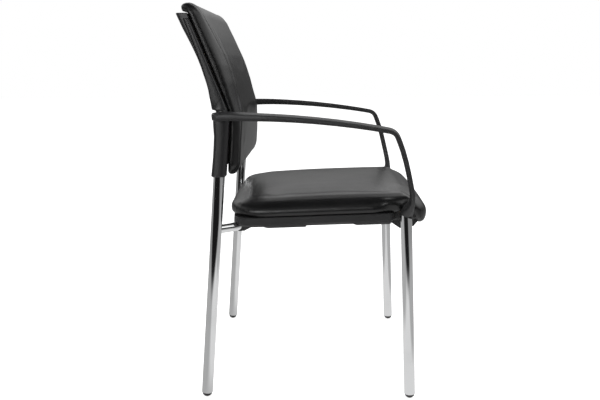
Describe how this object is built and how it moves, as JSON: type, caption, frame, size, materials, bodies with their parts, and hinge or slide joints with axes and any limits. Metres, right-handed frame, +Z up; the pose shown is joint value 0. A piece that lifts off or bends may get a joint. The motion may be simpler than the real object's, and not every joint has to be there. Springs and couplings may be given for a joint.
{
  "type": "visitor chair",
  "caption": "Visitor chair on a chromed tube frame, with slim moulded arms, an upholstered seat over a moulded pan and a cranked upholstered back.",
  "frame": {"origin": "on the floor, under the middle of the chair's bounding box", "axes": "+Z up, -Y the way the sitter faces, +X to the sitter's left"},
  "size_m": [0.5686, 0.5417, 0.881],
  "materials": {
    "chrome_tube": "polished chrome plating",
    "painted_steel": "black powder coat",
    "arm_plastic": "fine-grained black moulding",
    "back_plastic": "fine-grained black moulding",
    "pan_plastic": "black moulding",
    "pad_rubber": "dark grey soft moulding",
    "glide_plastic": "smooth black moulding",
    "leather": "black leatherette with a soft sheen",
    "plywood": "raw plywood, hidden",
    "zinc": "zinc plated"
  },
  "bodies": {
    "root": {"front_leg_left": "chrome_tube", "front_leg_right": "chrome_tube", "rear_leg_left": "chrome_tube", "rear_leg_right": "chrome_tube", "glide_front_left": "glide_plastic", "glide_front_right": "glide_plastic", "glide_rear_left": "glide_plastic", "glide_rear_right": "glide_plastic", "front_cross_tube": "chrome_tube", "rear_cross_tube": "chrome_tube", "side_rail_left": "painted_steel", "side_rail_right": "painted_steel", "front_bracket_left": "pan_plastic", "front_bracket_right": "pan_plastic", "rear_bracket_left": "pan_plastic", "rear_bracket_right": "pan_plastic", "seat_pan": "pan_plastic", "seat_board": "plywood", "seat_cushion": "leather", "seat_screws": "zinc", "stack_pad_front_left": "pad_rubber", "stack_pad_front_right": "pad_rubber", "stack_pad_rear_left": "pad_rubber", "stack_pad_rear_right": "pad_rubber", "stack_pad_screws": "zinc", "back_frame": "back_plastic", "back_shell": "back_plastic", "back_board": "plywood", "back_cushion": "leather", "back_screws": "zinc", "arm_left": "arm_plastic", "arm_right": "arm_plastic", "arm_front_screws": "zinc", "arm_rear_screws": "zinc"}
  },
  "joints": []
}
